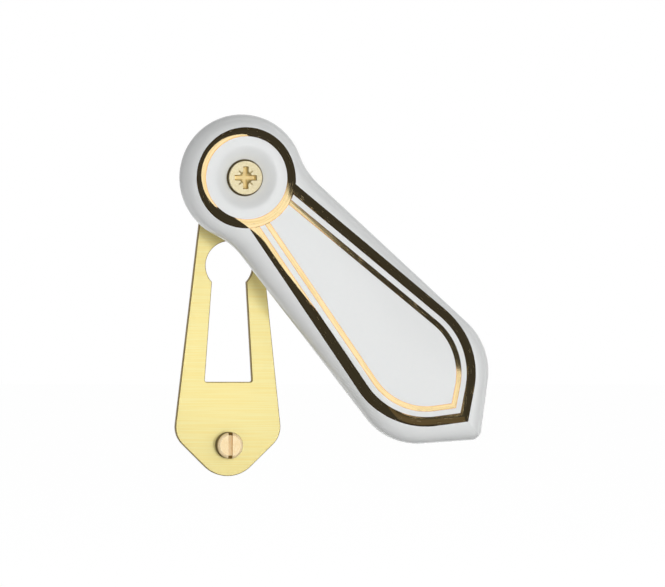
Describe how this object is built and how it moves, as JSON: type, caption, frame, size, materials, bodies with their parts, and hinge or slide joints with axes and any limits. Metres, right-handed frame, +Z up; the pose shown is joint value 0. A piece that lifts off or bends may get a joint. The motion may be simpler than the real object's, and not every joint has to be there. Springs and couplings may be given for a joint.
{
  "type": "keyhole escutcheon",
  "caption": "Brass keyhole plate with a white porcelain cover, edged in gold lines, that swings aside on its upper screw to bare the keyhole.",
  "frame": {"origin": "on the pivot axis at the plate's back face, where it lies on the door", "axes": "as fixed on a door: +Z up, the front faces -Y, +X to the right as seen from the front, +Y into the door along the screws"},
  "size_m": [0.0494, 0.0307, 0.0565],
  "materials": {
    "satin_brass": "satin",
    "turned_brass": "satin",
    "white_porcelain": "gloss",
    "screw_brass": "polished"
  },
  "bodies": {
    "plate": {"back_plate": "satin_brass", "pivot_bush": "turned_brass", "pivot_screw": "screw_brass", "fixing_screw": "screw_brass"},
    "cover": {"swing_cover": "white_porcelain"}
  },
  "joints": [
    {"name": "cover_swing", "type": "hinge", "parent": "plate", "child": "cover", "pos_m": [0, 0, 0], "axis": [0, -1, 0], "continuous": true}
  ]
}
